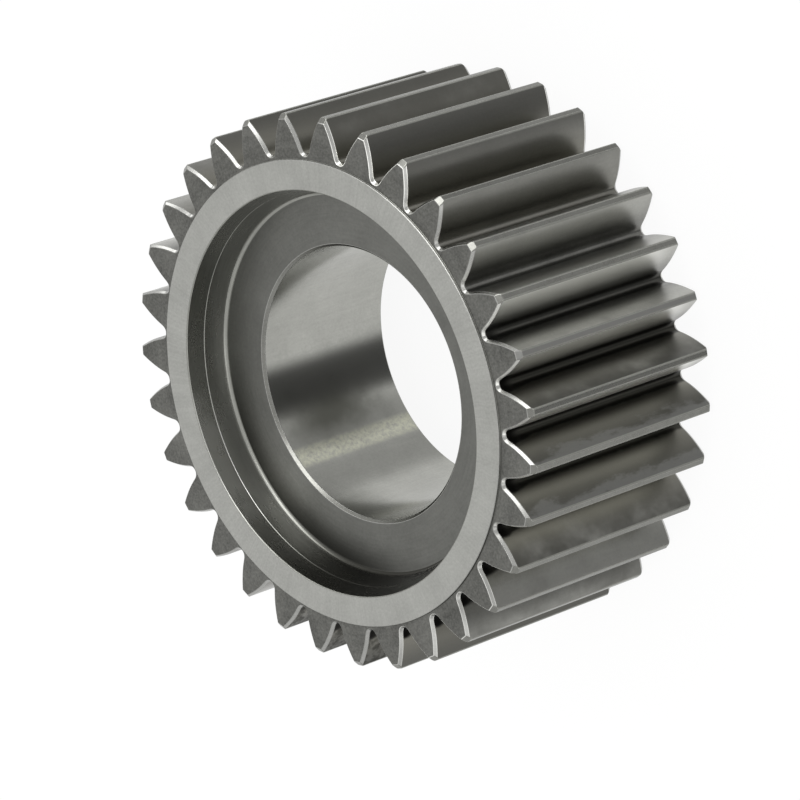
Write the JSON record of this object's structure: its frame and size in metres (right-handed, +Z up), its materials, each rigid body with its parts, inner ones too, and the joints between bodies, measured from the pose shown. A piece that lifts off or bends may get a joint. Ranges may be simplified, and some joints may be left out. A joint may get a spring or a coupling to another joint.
{
  "type": "planet gear",
  "caption": "Spur planet gear: a wide toothed ring with a smooth bearing bore, a deep turned recess in each face and a ground flat round each recess.",
  "frame": {"origin": "middle of the lower ground flat, on the gear's axis", "axes": "+Z up along the gear's axis, out of the upper face; +X through the middle of a tooth"},
  "size_m": [0.1006, 0.1008, 0.0457],
  "materials": {
    "gear_steel": "case hardened steel: ground flats and bore, finished flanks, turned recesses, darker tooth ends"
  },
  "bodies": {
    "root": {"planet_gear": "gear_steel"}
  },
  "joints": []
}
